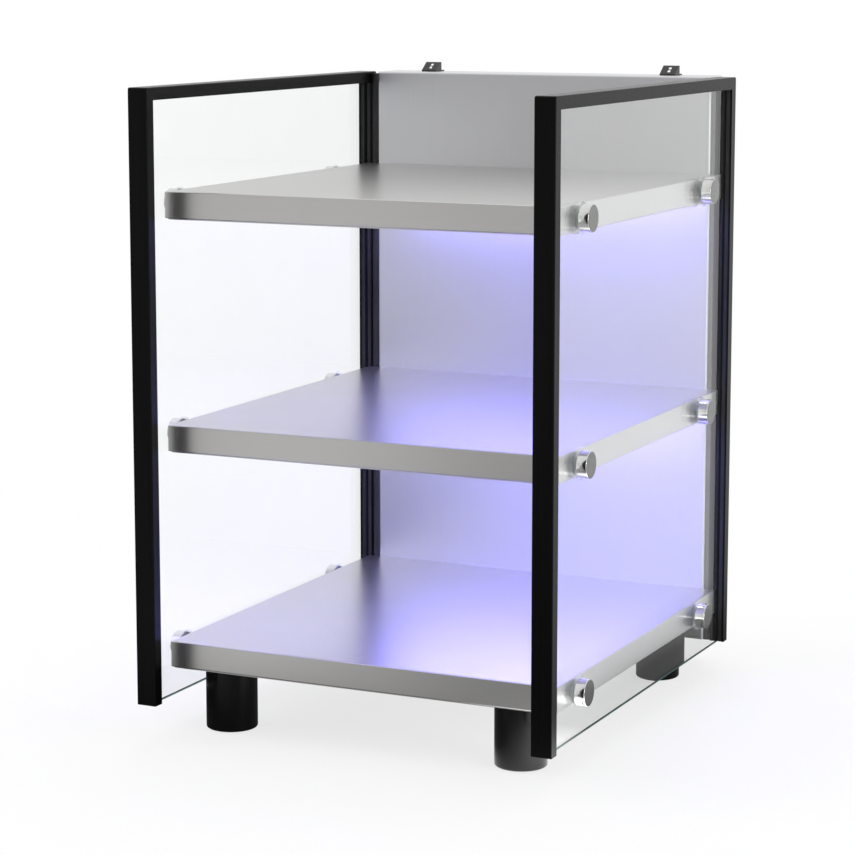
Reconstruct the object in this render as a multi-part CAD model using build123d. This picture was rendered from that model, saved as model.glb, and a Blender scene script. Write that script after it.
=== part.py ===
from build123d import *
import os

# A three-shelf cup warmer: heated steel shelves between two framed glass panes,
# on four round feet, with an electrics box across the back.
# All sizes are in millimetres. +X is the right-hand side seen from the front,
# +Y is the rear and +Z is up. The origin is on the floor, in the middle of the
# outer box of the whole object.

# Side frames and their glass
frame_width = 304.0
frame_depth = 341.0
channel_width = 14.5
channel_depth = 8.5
channel_wall = 1.4
channel_edge_radius = 0.8
channel_corner_radius = 1.6
glass_thickness = 6.0
glass_edge_bevel = 0.4
gasket_web = 1.5
gasket_set_back = 0.6

# Heights, from the floor up
foot_height = 44.6
lower_bay = 131.0
upper_bay = 139.2
glass_rise = 69.8
frame_drop = 20.4

# Folded shelves
shelf_sheet = 1.0
tray_height = 18.0
shelf_cover_sheet = 0.8
shelf_cover_inset = 1.6
shelf_set_back = 27.0
shelf_rear_gap = 0.5
shelf_lip = 12.0
shelf_edge_radius = 0.8
heater_thickness = 1.5
heater_margin = 24.0
heater_corner = 6.0
insulation_thickness = 6.0
insulation_inset = 3.0
limiter_diameter = 15.0
limiter_height = 7.0
limiter_collar_height = 4.9
limiter_top_diameter = 11.2
limiter_offset = 60.0

# Fixings that carry the shelves on the glass
cap_diameter = 18.0
cap_thickness = 7.0
cap_edge_bevel = 0.5
cap_thread_depth = 5.0
cap_inset = 54.5
cap_drop = 9.0
outer_washer_diameter = 21.0
inner_washer_diameter = 15.0
washer_thickness = 1.0
sleeve_wall = 1.2
stud_diameter = 6.0
weld_nut_width = 10.0
weld_nut_height = 8.0

# Feet
foot_diameter = 35.5
foot_edge_radius = 1.4
foot_inset_side = 32.3
foot_inset_end = 26.5
pad_diameter = 27.0
pad_thickness = 2.2
pad_proud = 0.8
foot_screw_seat = 12.0
foot_screw_diameter = 6.0
foot_screw_head = 10.0
foot_screw_head_height = 4.0
foot_nut_height = 5.0

# Rear box
box_gap = 5.5
box_depth = 37.0
box_sheet = 1.0
box_lip = 10.0
box_edge_radius = 1.6
rear_cover_sheet = 1.0
rear_cover_inset = 0.6
box_screw_diameter = 4.0
box_screw_length = 10.0
box_screw_head = 7.5
box_screw_head_height = 2.4
box_screw_edge = 42.0
box_nut_width = 7.0
box_nut_height = 3.2
grommet_bore = 8.0
grommet_wall = 2.0
grommet_flange = 2.5
grommet_flange_thickness = 1.5
grommet_offset = 40.0

# Small screws of the covers
cover_screw_diameter = 3.0
cover_screw_head = 5.6
cover_screw_head_height = 1.8
cover_screw_length = 5.0
cover_screw_corner = 40.0
screw_edge_bevel = 0.7

# Light bars under the two upper shelves
bar_end_gap = 16.5
bar_width = 17.0
bar_height = 5.0
bar_wall = 1.2
bar_set_forward = 34.0
diffuser_thickness = 1.2
diffuser_crown = 0.8
strip_width = 10.0
strip_thickness = 0.8
chip_size = 5.0
chip_height = 0.9
chip_count = 15

# Mains inlet and switches in the rear cover
control_height = 78.0
inlet_edge = 48.0
inlet_flange_width = 50.0
inlet_flange_height = 22.6
inlet_flange_thickness = 3.0
inlet_flange_corner = 5.6
inlet_width = 27.2
inlet_height = 19.6
inlet_depth = 20.0
inlet_wall = 1.6
inlet_corner = 3.4
inlet_floor = 3.0
inlet_screw_spread = 40.0
pin_width = 2.0
pin_height = 4.0
pin_spread = 7.0
pin_stagger = 2.0
pin_recess = 3.0
pin_tail = 7.0
pin_bevel = 0.5
heat_switch_pitch = 48.0
light_switch_pitch = 26.0
bezel_width = 15.0
bezel_height = 21.0
bezel_thickness = 1.5
bezel_bevel = 0.5
switch_width = 12.9
switch_height = 19.2
switch_depth = 13.0
rocker_width = 10.0
rocker_length = 15.6
rocker_side_gap = 0.3
rocker_end_gap = 0.8
rocker_tilt = 9.0
rocker_end_rise = 3.6
rocker_middle_rise = 2.4
rocker_hub = 5.0
rocker_skirt_rise = 1.2
rocker_root_depth = 1.5
rocker_root_length = 8.0
pivot_depth = 2.0
trunnion_diameter = 2.0
trunnion_reach = 0.8
trunnion_gap = 0.15
tab_width = 4.8
tab_thickness = 0.8
tab_length = 7.0
tab_spread = 9.6

# Electrics inside the rear box
driver_width = 120.0
driver_height = 42.0
driver_depth = 22.0
driver_ear = 9.0
driver_ear_thickness = 2.0
driver_ear_width = 21.0
driver_edge_radius = 1.6
driver_rise = 250.0
driver_offset = -40.0
terminal_width = 60.0
terminal_height = 17.0
terminal_depth = 16.0
terminal_poles = 6
terminal_bore = 4.0
terminal_bore_depth = 5.3
terminal_bore_spread = 8.5
terminal_rise = 150.0
terminal_offset = 40.0

# Lugs on top of the rear box
lug_width = 12.0
lug_rise = 7.0
lug_lean = 10.0
lug_sheet = 1.0
lug_base_length = 15.0
lug_set_forward = 13.5
lug_edge = 35.5
lug_window_width = 2.6
lug_window_height = 1.3
lug_screw_diameter = 2.5
lug_screw_head = 4.2
lug_screw_head_height = 1.2
lug_screw_margin = 3.0

# Clearances
bore_clearance = 0.1
hole_clearance = 0.3
cutter = 5.0

# Places worked out from the sizes
box_forward = channel_depth + shelf_rear_gap
overall_depth = frame_depth - box_forward + box_depth + rear_cover_sheet + inlet_flange_thickness
front = -overall_depth / 2
frame_rear = front + frame_depth
frame_half = frame_width / 2
shelf_height = tray_height + shelf_cover_sheet
bottom_top = foot_height + shelf_height
middle_top = bottom_top + lower_bay + shelf_height
top_top = middle_top + upper_bay + shelf_height
shelf_tops = {"bottom": bottom_top, "middle": middle_top, "top": top_top}
frame_top = top_top + glass_rise
frame_bottom = foot_height - frame_drop
glass_middle = frame_half - channel_width / 2
glass_inner = glass_middle - glass_thickness / 2
glass_outer = glass_middle + glass_thickness / 2
shelf_half = glass_inner - washer_thickness
shelf_front = front + shelf_set_back
box_front = frame_rear - box_forward
shelf_rear = box_front
box_half = frame_half - channel_width - box_gap
box_rear = box_front + box_depth
cover_face = box_rear + rear_cover_sheet
cap_front = front + cap_inset
cap_rear = frame_rear - cap_inset
pivot_y = cover_face - pivot_depth
inlet_offset = box_half - inlet_edge
heat_switch_offset = inlet_offset - heat_switch_pitch
light_switch_offset = heat_switch_offset - light_switch_pitch
cover_screw_offset = shelf_half - (shelf_lip + shelf_sheet) / 2
bar_length = 2 * (cover_screw_offset - cover_screw_head / 2 - bar_end_gap)
lug_offset = box_half - lug_edge


def block(x0, x1, y0, y1, z0, z1):
    """A box between six planes."""
    middle = Pos((x0 + x1) / 2, (y0 + y1) / 2, (z0 + z1) / 2)
    return middle * Box(x1 - x0, y1 - y0, z1 - z0)


def rod(diameter, start, direction, length):
    """A round bar from a point, along a direction."""
    bar = Cylinder(diameter / 2, length, align=(Align.CENTER, Align.CENTER, Align.MIN))
    return Plane(origin=start, z_dir=direction) * bar


def hexagon(width, bore, start, direction, length):
    """A hexagon nut with a plain bore."""
    outline = RegularPolygon(width / 2, 6, major_radius=False) - Circle(bore / 2)
    return Plane(origin=start, z_dir=direction) * extrude(outline, length)


def slab(points, x0, x1):
    """A plate with an outline drawn in Y and Z, between two X planes."""
    return extrude(Plane.YZ.offset(x0) * Polygon(*points, align=None), x1 - x0, dir=(1, 0, 0))


def folded_tray(width, length, height, sheet, radius, lip):
    """A tray folded from sheet, open below, with its edges turned in at the bottom.

    Its closed face lies at Z = 0 and its middle on the Z axis.
    """
    outer = block(-width / 2, width / 2, -length / 2, length / 2, -height, 0)
    outer = fillet(outer.edges().filter_by(Axis.Z, reverse=True), radius)
    hollow = block(sheet - width / 2, width / 2 - sheet, sheet - length / 2, length / 2 - sheet,
                   sheet - height, -sheet)
    mouth = block(lip - width / 2, width / 2 - lip, lip - length / 2, length / 2 - lip,
                  -height - cutter, sheet - height)
    return outer - hollow - mouth


def pan_screw(diameter, head, head_height, length, start, direction):
    """A screw whose head seats at the start point and whose shank follows the direction."""
    seat = Plane(origin=start, z_dir=direction)
    top = Cylinder(head / 2, head_height, align=(Align.CENTER, Align.CENTER, Align.MAX))
    top = chamfer(top.edges().sort_by(Axis.Z)[0], min(screw_edge_bevel, head_height / 2))
    shank = Cylinder(diameter / 2, length, align=(Align.CENTER, Align.CENTER, Align.MIN))
    return seat * (top + shank)


def both_sides(pieces):
    """The pieces and their mirror images in the middle plane."""
    return pieces + [mirror(piece, about=Plane.YZ) for piece in pieces]


def save(name, *pieces):
    """Write one sub-part, which may be a group of separate solids."""
    solids = []
    for piece in pieces:
        solids.extend(piece.solids())
    shape = solids[0] if len(solids) == 1 else Compound(solids)
    shape.label = name
    export_step(shape, os.path.join("parts", name + ".step"))


# Side frames

def cap_points():
    """Where the right-hand fixings pass through the glass plane, as Y and Z."""
    places = []
    for top in shelf_tops.values():
        for y in (cap_front, cap_rear):
            places.append((y, top - cap_drop))
    return places


def frame_blank():
    """The right-hand frame before it is cut at its mitres."""
    inner_face = frame_half - channel_width
    blank = block(inner_face, frame_half, front, frame_rear, frame_bottom, frame_top)
    blank = fillet(blank.edges().filter_by(Axis.X).group_by(Axis.Z)[-1], channel_corner_radius)
    rim = blank.faces().filter_by(Axis.X).edges()
    blank = fillet(rim.filter_by(lambda edge: edge.center().Z > frame_bottom + cutter), channel_edge_radius)
    window = block(inner_face - cutter, frame_half + cutter, front + channel_depth,
                   frame_rear - channel_depth, frame_bottom - cutter, frame_top - channel_depth)
    return blank - window - groove()


def groove():
    """The space inside the right-hand channels."""
    return block(frame_half - channel_width + channel_wall, frame_half - channel_wall,
                 front + channel_wall, frame_rear - channel_wall,
                 frame_bottom - cutter, frame_top - channel_wall)


def channels():
    """The three mitred channels of the right-hand frame."""
    blank = frame_blank()
    low = frame_bottom - cutter
    outer_top = frame_top + cutter
    inner_top = frame_top - channel_depth
    front_inner = front + channel_depth
    rear_inner = frame_rear - channel_depth
    front_outline = [(front - cutter, low), (front - cutter, outer_top),
                     (front_inner, inner_top), (front_inner, low)]
    rear_outline = [(frame_rear + cutter, low), (rear_inner, low),
                    (rear_inner, inner_top), (frame_rear + cutter, outer_top)]
    top_outline = [(front - cutter, outer_top), (frame_rear + cutter, outer_top),
                   (rear_inner, inner_top), (front_inner, inner_top)]
    outlines = {"front": front_outline, "top": top_outline, "rear": rear_outline}
    x0 = frame_half - channel_width - cutter
    return {name: blank & slab(points, x0, frame_half + cutter) for name, points in outlines.items()}


def pane():
    """The right-hand glass, drilled for the shelf fixings."""
    edge = channel_wall + gasket_web
    sheet = block(glass_inner, glass_outer, front + edge, frame_rear - edge, frame_bottom, frame_top - edge)
    sheet = chamfer(sheet.faces().filter_by(Axis.X).edges(), glass_edge_bevel)
    drill = stud_diameter + 2 * (bore_clearance + sleeve_wall + bore_clearance)
    for y, z in cap_points():
        sheet -= rod(drill, (glass_inner - cutter, y, z), (1, 0, 0), glass_thickness + 2 * cutter)
    return sheet


def gasket():
    """The rubber liner that grips the right-hand glass in its channels."""
    edge = channel_wall + gasket_web
    depth = channel_depth - gasket_set_back
    liner = groove() & block(0, frame_half, front, frame_rear, frame_bottom, frame_top)
    liner -= block(glass_inner, glass_outer, front + edge, frame_rear - edge,
                   frame_bottom - cutter, frame_top - edge)
    liner -= block(0, frame_half, front + depth, frame_rear - depth,
                   frame_bottom - cutter, frame_top - depth)
    return liner


def make_side_frames():
    """Channels, glass and gasket of both sides."""
    pieces = {name + "_channel": bar for name, bar in channels().items()}
    pieces["glass"] = pane()
    pieces["gasket"] = gasket()
    for name, piece in pieces.items():
        save("right_" + name, piece)
        save("left_" + name, mirror(piece, about=Plane.YZ))


# Shelves

def rear_screw_places():
    """The X places of the screws that hold a shelf to the rear box."""
    return (box_screw_edge - box_half, box_half - box_screw_edge)


def foot_places():
    """The middle of each foot, as X and Y."""
    x = shelf_half - foot_inset_side
    return {
        "front_left": (-x, shelf_front + foot_inset_end),
        "front_right": (x, shelf_front + foot_inset_end),
        "rear_left": (-x, shelf_rear - foot_inset_end),
        "rear_right": (x, shelf_rear - foot_inset_end),
    }


def cover_screw_places():
    """The screws of a shelf's lower cover, in the middle of the side lips, as X and Y."""
    ends = (shelf_front + cover_screw_corner, shelf_rear - cover_screw_corner)
    return [(side * cover_screw_offset, y) for side in (-1, 1) for y in ends]


def shelf_tray(top):
    """One folded shelf with its holes."""
    middle = (shelf_front + shelf_rear) / 2
    tray = Pos(0, middle, top) * folded_tray(2 * shelf_half, shelf_rear - shelf_front, tray_height,
                                             shelf_sheet, shelf_edge_radius, shelf_lip)
    height = top - cap_drop
    span = 2 * shelf_half + 2 * cutter
    for y in (cap_front, cap_rear):
        tray -= rod(stud_diameter + 2 * hole_clearance, (-span / 2, y, height), (1, 0, 0), span)
    start = shelf_rear - shelf_sheet - cutter
    for x in rear_screw_places():
        tray -= rod(box_screw_diameter + 2 * hole_clearance, (x, start, height), (0, 1, 0), 2 * cutter)
    tray -= rod(grommet_bore + 2 * grommet_wall, (grommet_offset, start, height), (0, 1, 0), 2 * cutter)
    for x, y in cover_screw_places():
        tray -= rod(cover_screw_diameter + 2 * bore_clearance, (x, y, top - tray_height - cutter),
                    (0, 0, 1), shelf_sheet + 2 * cutter)
    return tray


def shelf_cover(top, carries_feet):
    """The flat sheet that closes a shelf from below."""
    upper = top - tray_height
    edge = shelf_cover_inset
    sheet = block(edge - shelf_half, shelf_half - edge, shelf_front + edge, shelf_rear - edge,
                  upper - shelf_cover_sheet, upper)
    for x, y in cover_screw_places():
        sheet -= rod(cover_screw_diameter + 2 * bore_clearance, (x, y, upper - cutter),
                     (0, 0, 1), 2 * cutter)
    if carries_feet:
        for x, y in foot_places().values():
            sheet -= rod(foot_screw_diameter + 2 * hole_clearance, (x, y, upper - cutter),
                         (0, 0, 1), 2 * cutter)
    return sheet


def heater(top):
    """The silicone heating mat under the shelf's top sheet."""
    upper = top - shelf_sheet
    mat = block(heater_margin - shelf_half, shelf_half - heater_margin,
                shelf_front + heater_margin, shelf_rear - heater_margin,
                upper - heater_thickness, upper)
    return fillet(mat.edges().filter_by(Axis.Z), heater_corner)


def insulation(top):
    """The pad below the mat, with a hole for the heat limiter."""
    edge = heater_margin + insulation_inset
    upper = top - shelf_sheet - heater_thickness
    pad = block(edge - shelf_half, shelf_half - edge, shelf_front + edge, shelf_rear - edge,
                upper - insulation_thickness, upper)
    hole = rod(limiter_diameter + 2 * hole_clearance, (grommet_offset, shelf_rear - limiter_offset, upper),
               (0, 0, -1), insulation_thickness + cutter)
    return pad - hole


def limiter(top):
    """The round heat limiter that sits on the mat."""
    upper = top - shelf_sheet - heater_thickness
    start = (grommet_offset, shelf_rear - limiter_offset, upper)
    collar = rod(limiter_diameter, start, (0, 0, -1), limiter_collar_height)
    return collar + rod(limiter_top_diameter, start, (0, 0, -1), limiter_height)


def make_shelves():
    """The three shelves and what is inside them."""
    limiters = []
    cover_screws = []
    for name, top in shelf_tops.items():
        save(name + "_shelf", shelf_tray(top))
        save(name + "_shelf_cover", shelf_cover(top, name == "bottom"))
        save(name + "_heater", heater(top))
        save(name + "_insulation", insulation(top))
        limiters.append(limiter(top))
        under = top - shelf_height
        for x, y in cover_screw_places():
            cover_screws.append(pan_screw(cover_screw_diameter, cover_screw_head, cover_screw_head_height,
                                          cover_screw_length, (x, y, under), (0, 0, 1)))
    save("heat_limiters", *limiters)
    save("shelf_cover_screws", *cover_screws)


# Fixings through the glass

def cap(y, z):
    """A polished round cap with a blind bore for its stud."""
    base = glass_outer + washer_thickness
    head = rod(cap_diameter, (base, y, z), (1, 0, 0), cap_thickness)
    head = chamfer(head.edges().sort_by(Axis.X)[-1], cap_edge_bevel)
    bore = rod(stud_diameter + 2 * bore_clearance, (base - cutter, y, z), (1, 0, 0),
               cutter + cap_thread_depth)
    return head - bore


def outer_washer(y, z):
    """A clear washer with a sleeve that lines the hole in the glass."""
    sleeve_diameter = stud_diameter + 2 * (bore_clearance + sleeve_wall)
    flange = rod(outer_washer_diameter, (glass_outer, y, z), (1, 0, 0), washer_thickness)
    sleeve = rod(sleeve_diameter, (glass_inner, y, z), (1, 0, 0), glass_thickness)
    bore = rod(stud_diameter + 2 * bore_clearance, (glass_inner - cutter, y, z), (1, 0, 0),
               glass_thickness + 2 * cutter)
    return flange + sleeve - bore


def inner_washer(y, z):
    """A rubber washer between the glass and the shelf."""
    ring = rod(inner_washer_diameter, (shelf_half, y, z), (1, 0, 0), washer_thickness)
    bore = rod(stud_diameter + 2 * bore_clearance, (shelf_half - cutter, y, z), (1, 0, 0), 2 * cutter)
    return ring - bore


def weld_nut(y, z):
    """A nut welded inside the shelf's side."""
    bore = stud_diameter + 2 * bore_clearance
    return hexagon(weld_nut_width, bore, (shelf_half - shelf_sheet, y, z), (-1, 0, 0), weld_nut_height)


def stud(y, z):
    """The threaded pin from the nut in the shelf to the cap."""
    start = shelf_half - shelf_sheet - weld_nut_height
    end = glass_outer + washer_thickness + cap_thread_depth - bore_clearance
    return rod(stud_diameter, (start, y, z), (1, 0, 0), end - start)


def make_fixings():
    """All twelve fixings, each kind in one group."""
    makers = {
        "glass_caps": cap,
        "outer_washers": outer_washer,
        "inner_washers": inner_washer,
        "shelf_weld_nuts": weld_nut,
        "cap_studs": stud,
    }
    for name, maker in makers.items():
        save(name, *both_sides([maker(y, z) for y, z in cap_points()]))


# Feet

def foot(x, y):
    """A round foot, bored for its screw, with a pad recess below."""
    body = rod(foot_diameter, (x, y, pad_proud), (0, 0, 1), foot_height - pad_proud)
    body = fillet(body.edges().sort_by(Axis.Z)[0], foot_edge_radius)
    body -= rod(pad_diameter + 2 * hole_clearance, (x, y, 0), (0, 0, 1), pad_thickness)
    body -= rod(foot_screw_head + 2 * hole_clearance, (x, y, 0), (0, 0, 1), foot_height - foot_screw_seat)
    body -= rod(foot_screw_diameter + 2 * hole_clearance, (x, y, 0), (0, 0, 1), foot_height + cutter)
    return body


def make_feet():
    """Four feet with their pads, screws and nuts."""
    pads = []
    screws = []
    nuts = []
    nut_seat = foot_height + shelf_cover_sheet
    seat = foot_height - foot_screw_seat
    for name, (x, y) in foot_places().items():
        save(name + "_foot", foot(x, y))
        pads.append(rod(pad_diameter, (x, y, 0), (0, 0, 1), pad_thickness))
        screws.append(pan_screw(foot_screw_diameter, foot_screw_head, foot_screw_head_height,
                                nut_seat + foot_nut_height - seat, (x, y, seat), (0, 0, 1)))
        nuts.append(hexagon(weld_nut_width, foot_screw_diameter + 2 * bore_clearance,
                            (x, y, nut_seat), (0, 0, 1), foot_nut_height))
    save("foot_pads", *pads)
    save("foot_screws", *screws)
    save("foot_nuts", *nuts)


# Rear box

def rear_box():
    """The folded box across the back, open to the rear, with its front as the back panel."""
    height = frame_top - frame_bottom
    tray = folded_tray(2 * box_half, height, box_depth, box_sheet, box_edge_radius, box_lip)
    box = Pos(0, box_front, (frame_top + frame_bottom) / 2) * Rot(90, 0, 0) * tray
    for top in shelf_tops.values():
        z = top - cap_drop
        for x in rear_screw_places():
            box -= rod(box_screw_diameter + 2 * bore_clearance, (x, box_front - cutter, z),
                       (0, 1, 0), box_sheet + 2 * cutter)
        box -= rod(grommet_bore + 2 * grommet_wall, (grommet_offset, box_front - cutter, z),
                   (0, 1, 0), box_sheet + 2 * cutter)
    for x, z in rear_cover_screw_places():
        box -= rod(cover_screw_diameter + 2 * bore_clearance, (x, box_rear - box_sheet - cutter, z),
                   (0, 1, 0), box_sheet + 2 * cutter)
    for side in (-1, 1):
        box -= rod(lug_screw_diameter + 2 * bore_clearance, (*lug_screw_place(side), frame_top - cutter),
                   (0, 0, 1), 2 * cutter)
    return box


def rear_cover_screw_places():
    """The screws of the rear cover, in the middle of the box's side lips, as X and Z."""
    x = box_half - box_lip / 2
    low = frame_bottom + box_lip
    high = frame_top - box_lip
    return [(side * x, z) for side in (-1, 1) for z in (low, (low + high) / 2, high)]


def rear_cover():
    """The flat rear cover with the openings for the inlet and the two switches."""
    edge = rear_cover_inset
    sheet = block(edge - box_half, box_half - edge, box_rear, cover_face,
                  frame_bottom + edge, frame_top - edge)
    for x, z in rear_cover_screw_places():
        sheet -= rod(cover_screw_diameter + 2 * bore_clearance, (x, box_rear - cutter, z), (0, 1, 0),
                     rear_cover_sheet + 2 * cutter)
    sheet -= inlet_outline(inlet_width + 2 * hole_clearance, inlet_height + 2 * hole_clearance,
                           box_rear - cutter, cover_face + cutter)
    for x in (heat_switch_offset, light_switch_offset):
        half_width = switch_width / 2 + hole_clearance
        half_height = switch_height / 2 + hole_clearance
        sheet -= block(x - half_width, x + half_width, box_rear - cutter, cover_face + cutter,
                       control_height - half_height, control_height + half_height)
    for x in inlet_screw_places():
        sheet -= rod(cover_screw_diameter + 2 * bore_clearance, (x, box_rear - cutter, control_height),
                     (0, 1, 0), rear_cover_sheet + 2 * cutter)
    return sheet


def make_rear_box():
    """The rear box, its cover and the pieces that join it to the shelves."""
    save("rear_box", rear_box())
    save("rear_cover", rear_cover())
    save("rear_cover_screws", *[
        pan_screw(cover_screw_diameter, cover_screw_head, cover_screw_head_height, cover_screw_length,
                  (x, cover_face, z), (0, -1, 0)) for x, z in rear_cover_screw_places()])
    screws = []
    nuts = []
    grommets = []
    flange_face = shelf_rear - shelf_sheet
    for top in shelf_tops.values():
        z = top - cap_drop
        for x in rear_screw_places():
            screws.append(pan_screw(box_screw_diameter, box_screw_head, box_screw_head_height,
                                    box_screw_length, (x, box_front + box_sheet, z), (0, -1, 0)))
            nuts.append(hexagon(box_nut_width, box_screw_diameter + 2 * bore_clearance,
                                (x, flange_face, z), (0, -1, 0), box_nut_height))
        grommets.append(grommet(z))
    save("box_screws", *screws)
    save("box_nuts", *nuts)
    save("lead_grommets", *grommets)


def grommet(z):
    """A rubber bush where a shelf's leads enter the rear box."""
    body = grommet_bore + 2 * grommet_wall
    start = shelf_rear - shelf_sheet - grommet_flange_thickness
    inner = box_front + box_sheet
    bush = rod(body, (grommet_offset, start, z), (0, 1, 0), inner + grommet_flange_thickness - start)
    bush += rod(body + 2 * grommet_flange, (grommet_offset, inner, z), (0, 1, 0), grommet_flange_thickness)
    return bush - rod(grommet_bore, (grommet_offset, start - cutter, z), (0, 1, 0),
                      inner + grommet_flange_thickness - start + 2 * cutter)


# Mains inlet and switches

def inlet_outline(width, height, y0, y1):
    """A block with the inlet's outline, whose two upper corners are cut off."""
    body = block(inlet_offset - width / 2, inlet_offset + width / 2, y0, y1,
                 control_height - height / 2, control_height + height / 2)
    return chamfer(body.edges().filter_by(Axis.Y).group_by(Axis.Z)[-1], inlet_corner)


def inlet_screw_places():
    """The X places of the two screws of the inlet."""
    return (inlet_offset - inlet_screw_spread / 2, inlet_offset + inlet_screw_spread / 2)


def mains_inlet():
    """The appliance inlet: a flange outside the cover and a socket behind it."""
    outer = cover_face + inlet_flange_thickness
    flange = block(inlet_offset - inlet_flange_width / 2, inlet_offset + inlet_flange_width / 2,
                   cover_face, outer, control_height - inlet_flange_height / 2,
                   control_height + inlet_flange_height / 2)
    flange = fillet(flange.edges().filter_by(Axis.Y), inlet_flange_corner)
    body = inlet_outline(inlet_width, inlet_height, cover_face - inlet_depth, cover_face)
    hollow = inlet_outline(inlet_width - 2 * inlet_wall, inlet_height - 2 * inlet_wall,
                           cover_face - inlet_depth + inlet_floor, outer + cutter)
    inlet = flange + body - hollow
    for x in inlet_screw_places():
        inlet -= rod(cover_screw_diameter + 2 * bore_clearance, (x, cover_face - cutter, control_height),
                     (0, 1, 0), inlet_flange_thickness + 2 * cutter)
        inlet -= rod(cover_screw_head + 2 * hole_clearance,
                     (x, outer - cover_screw_head_height, control_height), (0, 1, 0), cutter)
    for x, z in pin_places():
        inlet -= pin_blade(x, z, cover_face - inlet_depth - cutter, outer)
    return inlet


def pin_places():
    """The three contact pins, as X and Z: two line pins below and the earth pin above."""
    low = control_height - pin_stagger
    return [(inlet_offset - pin_spread, low), (inlet_offset, control_height + pin_stagger),
            (inlet_offset + pin_spread, low)]


def pin_blade(x, z, y0, y1):
    """The straight blade of a contact pin."""
    return block(x - pin_width / 2, x + pin_width / 2, y0, y1, z - pin_height / 2, z + pin_height / 2)


def contact_pin(x, z):
    """One contact pin, from its tail inside the box to its tip in the socket."""
    tip = cover_face + inlet_flange_thickness - pin_recess
    blade = pin_blade(x, z, cover_face - inlet_depth - pin_tail, tip)
    return chamfer(blade.faces().sort_by(Axis.Y)[-1].edges(), pin_bevel)


def switch_body(x):
    """The fixed part of a rocker switch, with its bezel and two tabs behind."""
    outer = cover_face + bezel_thickness
    bezel = block(x - bezel_width / 2, x + bezel_width / 2, cover_face, outer,
                  control_height - bezel_height / 2, control_height + bezel_height / 2)
    bezel = chamfer(bezel.faces().sort_by(Axis.Y)[-1].edges(), bezel_bevel)
    back = cover_face - switch_depth
    body = block(x - switch_width / 2, x + switch_width / 2, back, cover_face,
                 control_height - switch_height / 2, control_height + switch_height / 2)
    half_width = rocker_width / 2 + rocker_side_gap
    half_length = rocker_length / 2 + rocker_end_gap
    floor = pivot_y - rocker_hub - rocker_end_gap
    pocket = block(x - half_width, x + half_width, floor, outer + cutter,
                   control_height - half_length, control_height + half_length)
    reach = half_width + trunnion_reach
    bore = rod(trunnion_diameter + 2 * trunnion_gap, (x - reach, pivot_y, control_height),
               (1, 0, 0), 2 * reach)
    switch = bezel + body - pocket - bore
    for side in (-1, 1):
        z = control_height + side * tab_spread / 2
        switch += block(x - tab_width / 2, x + tab_width / 2, back - tab_length, back,
                        z - tab_thickness / 2, z + tab_thickness / 2)
    return switch


def rocker(x):
    """The moving key of a rocker switch, drawn in its off position."""
    half = rocker_length / 2
    root = rocker_root_length / 2
    outline = Polygon((rocker_end_rise, -half), (rocker_middle_rise, 0), (rocker_end_rise, half),
                      (rocker_skirt_rise, half), (-rocker_root_depth, root),
                      (-rocker_root_depth, -root), (rocker_skirt_rise, -half), align=None)
    key = extrude(Plane.YZ.offset(-rocker_width / 2) * outline, rocker_width, dir=(1, 0, 0))
    key += rod(2 * rocker_hub, (-rocker_width / 2, 0, 0), (1, 0, 0), rocker_width) & block(
        -rocker_width, rocker_width, -2 * rocker_hub, 0, -rocker_hub, rocker_hub)
    reach = rocker_width / 2 + rocker_side_gap + trunnion_reach - trunnion_gap
    key += rod(trunnion_diameter, (-reach, 0, 0), (1, 0, 0), 2 * reach)
    return Pos(x, pivot_y, control_height) * Rot(-rocker_tilt, 0, 0) * key


def make_controls():
    """The inlet and the two rocker switches."""
    save("mains_inlet", mains_inlet())
    save("inlet_pins", *[contact_pin(x, z) for x, z in pin_places()])
    outer = cover_face + inlet_flange_thickness
    save("inlet_screws", *[
        pan_screw(cover_screw_diameter, cover_screw_head, cover_screw_head_height,
                  cover_screw_length + inlet_flange_thickness, (x, outer - cover_screw_head_height,
                  control_height), (0, -1, 0)) for x in inlet_screw_places()])
    save("heat_switch_body", switch_body(heat_switch_offset))
    save("heat_switch_rocker", rocker(heat_switch_offset))
    save("light_switch_body", switch_body(light_switch_offset))
    save("light_switch_rocker", rocker(light_switch_offset))


# Electrics inside the rear box

def light_driver():
    """The supply of the light bars, with two fixing ears."""
    y0 = box_front + box_sheet
    can = block(driver_offset - driver_width / 2, driver_offset + driver_width / 2, y0, y0 + driver_depth,
                driver_rise - driver_height / 2, driver_rise + driver_height / 2)
    can = fillet(can.edges().filter_by(Axis.X).group_by(Axis.Y)[-1], driver_edge_radius)
    reach = driver_width / 2 + driver_ear
    ears = block(driver_offset - reach, driver_offset + reach, y0, y0 + driver_ear_thickness,
                 driver_rise - driver_ear_width / 2, driver_rise + driver_ear_width / 2)
    return can + ears


def terminal_block():
    """The terminal strip where the shelf leads meet the mains."""
    y0 = box_front + box_sheet
    pitch = terminal_width / terminal_poles
    strip = block(terminal_offset - terminal_width / 2, terminal_offset + terminal_width / 2,
                  y0, y0 + terminal_depth, terminal_rise - terminal_height / 2,
                  terminal_rise + terminal_height / 2)
    for pole in range(terminal_poles):
        x = terminal_offset + (pole - (terminal_poles - 1) / 2) * pitch
        for side in (-1, 1):
            start = (x, y0 + terminal_depth, terminal_rise + side * terminal_bore_spread / 2)
            strip -= rod(terminal_bore, start, (0, -1, 0), terminal_bore_depth)
    return strip


def make_electrics():
    """The pieces fixed inside the rear box."""
    save("light_driver", light_driver())
    save("terminal_block", terminal_block())


# Light bars

def bar_space():
    """The middle of a light bar, along Y."""
    return shelf_rear - bar_set_forward


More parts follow.
